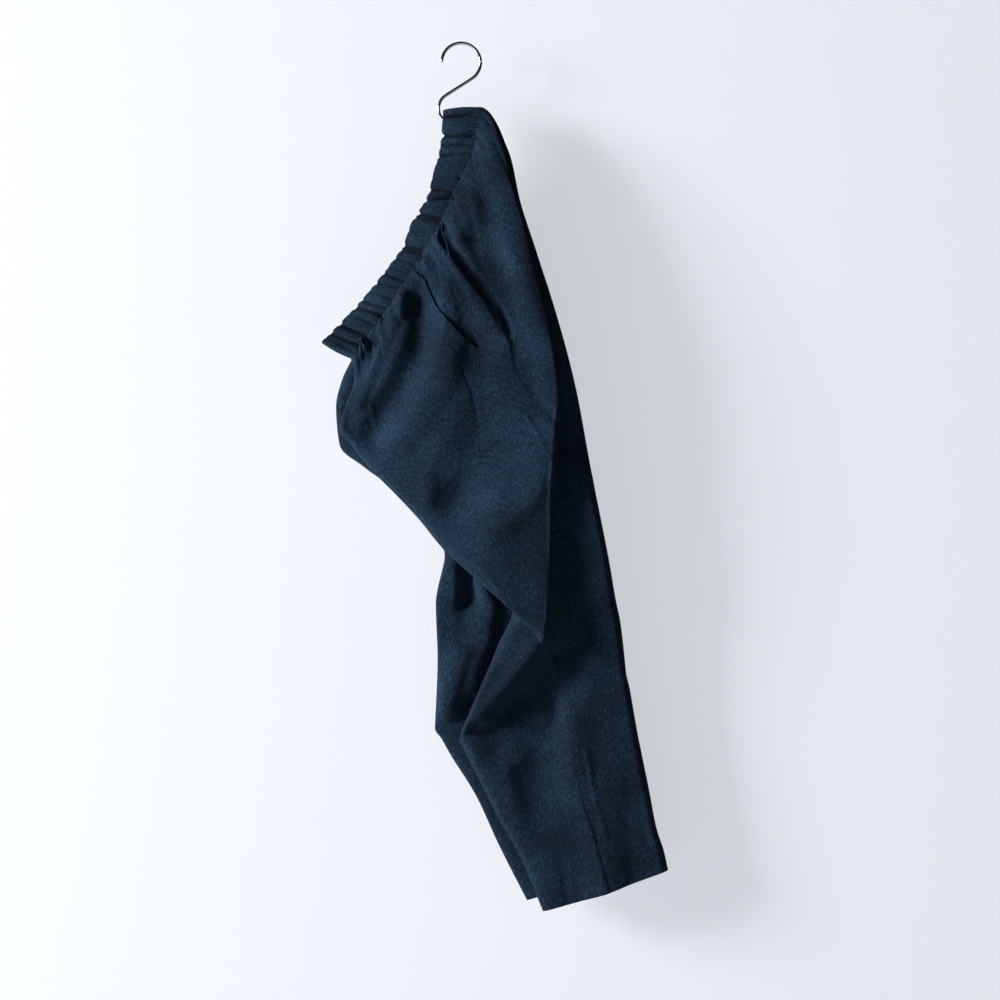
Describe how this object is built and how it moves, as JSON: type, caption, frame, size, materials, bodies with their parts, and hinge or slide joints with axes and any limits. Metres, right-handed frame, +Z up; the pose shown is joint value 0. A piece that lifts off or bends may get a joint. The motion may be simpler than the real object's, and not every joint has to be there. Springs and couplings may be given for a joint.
{
  "type": "elastic waist painter pants hung from an s-hook",
  "caption": "Cropped tapered linen work trousers with a gathered elastic waist, folded leg on leg and hung by the waist from a plain metal S-hook.",
  "frame": {"origin": "inside top of the upper loop of the S-hook, where a rail or peg would carry it", "axes": "+Z up; +X from the front of the waist towards the seat; -Y out from the left leg, towards the viewer"},
  "size_m": [0.3911, 0.0826, 0.9816],
  "materials": {
    "cloth": "matt washed linen, dark navy",
    "band": "matt washed linen, gathered over elastic",
    "hook": "polished bent wire"
  },
  "bodies": {
    "root": {"s_hook": "hook", "waistband": "band", "left_front": "cloth", "left_back": "cloth", "right_front": "cloth", "right_back": "cloth", "left_pocket": "cloth", "right_pocket": "cloth"}
  },
  "joints": []
}
